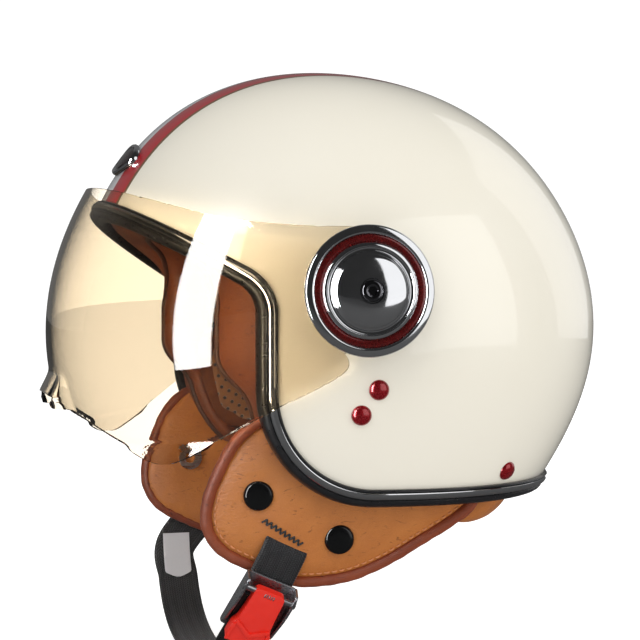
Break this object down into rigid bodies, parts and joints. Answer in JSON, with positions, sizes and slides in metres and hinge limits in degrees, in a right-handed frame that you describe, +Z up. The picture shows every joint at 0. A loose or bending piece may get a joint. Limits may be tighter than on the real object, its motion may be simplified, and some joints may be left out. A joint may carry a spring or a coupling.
{
  "type": "open face motorcycle helmet",
  "caption": "Open face motorcycle helmet with a hinged bubble visor, padded leather ear flaps, a rubber edged shell and a chin strap with a quick release buckle.",
  "frame": {"origin": "middle of the head opening on the plane of the shell's lower rim", "axes": "-Y is the way the face looks, +X is the wearer's left, +Z is up; the head enters along -Z"},
  "size_m": [0.2778, 0.2924, 0.3059],
  "materials": {
    "shell_paint": "glossy cream gelcoat with a red, silver and green centre stripe",
    "foam": "dark grey expanded bead foam",
    "trim_rubber": "black satin rubber edging",
    "chrome": "bright chromed plastic",
    "visor_clear": "clear pale amber polycarbonate",
    "black_plastic": "black moulded nylon",
    "red_plastic": "glossy red moulded plastic",
    "steel": "brushed zinc plated steel",
    "brass": "plain brass",
    "rivet_red": "dark red lacquered rivet head",
    "snap_black": "black oxide snap head",
    "tan_leather": "tan grained leather",
    "red_leather": "red brown rolled leather binding",
    "suede": "brown brushed suede fabric",
    "webbing": "black woven polyester webbing",
    "thread": "black polyester thread",
    "label_cloth": "blank white satin label",
    "badge_dark": "dark glossy enamel, blank"
  },
  "bodies": {
    "shell": {"outer_shell": "shell_paint", "foam_crown": "foam", "foam_side_left": "foam", "foam_side_right": "foam", "edge_trim": "trim_rubber", "trim_strip": "chrome", "badge_rim": "chrome", "pivot_cap_left": "chrome", "pivot_cap_right": "chrome", "crown_pad": "suede", "cheek_pad_left": "suede", "cheek_pad_right": "suede", "brow_band": "tan_leather", "neck_roll": "tan_leather", "ear_flap_left": "tan_leather", "ear_flap_right": "tan_leather", "cheek_mesh_left": "tan_leather", "cheek_mesh_right": "tan_leather", "flap_piping_left": "red_leather", "flap_piping_right": "red_leather", "snap_caps_left": "snap_black", "snap_caps_right": "snap_black", "snap_sockets_left": "steel", "snap_sockets_right": "steel", "strap_anchor_left": "steel", "strap_anchor_right": "steel", "pivot_screw_left": "steel", "pivot_screw_right": "steel", "buckle_frame": "steel", "lever_pin": "steel", "lever_spring": "steel", "strap_rivets_left": "rivet_red", "strap_rivets_right": "rivet_red", "rear_rivet_left": "rivet_red", "rear_rivet_right": "rivet_red", "pivot_base_left": "black_plastic", "pivot_base_right": "black_plastic", "pivot_bush_left": "black_plastic", "pivot_bush_right": "black_plastic", "friction_washer_left": "trim_rubber", "friction_washer_right": "trim_rubber", "accent_ring_left": "red_plastic", "accent_ring_right": "red_plastic", "insert_nut_left": "brass", "insert_nut_right": "brass", "badge_face": "badge_dark", "strap_left": "webbing", "strap_right": "webbing", "bar_tack_left": "thread", "bar_tack_right": "thread", "strap_label": "label_cloth"},
    "visor": {"visor_lens": "visor_clear"},
    "lever": {"release_lever": "red_plastic"},
    "tongue": {"ratchet_tongue": "black_plastic", "strap_keeper": "black_plastic"}
  },
  "joints": [
    {"name": "visor_pivot", "type": "hinge", "parent": "shell", "child": "visor", "pos_m": [0, -0.02, 0.111], "axis": [-1, 0, 0], "range_deg": [0, 70]},
    {"name": "release_lever", "type": "hinge", "parent": "shell", "child": "lever", "pos_m": [0.09541, -0.05983, -0.03574], "axis": [0, -0.9134, 0.4072], "range_deg": [0, 25], "stiffness_Nm_per_rad": 0.05},
    {"name": "tongue_slide", "type": "slide", "parent": "shell", "child": "tongue", "axis": [-0.4069, -0.3719, -0.8343], "range_m": [0, 0.012], "deforming": ["strap_right"]}
  ]
}
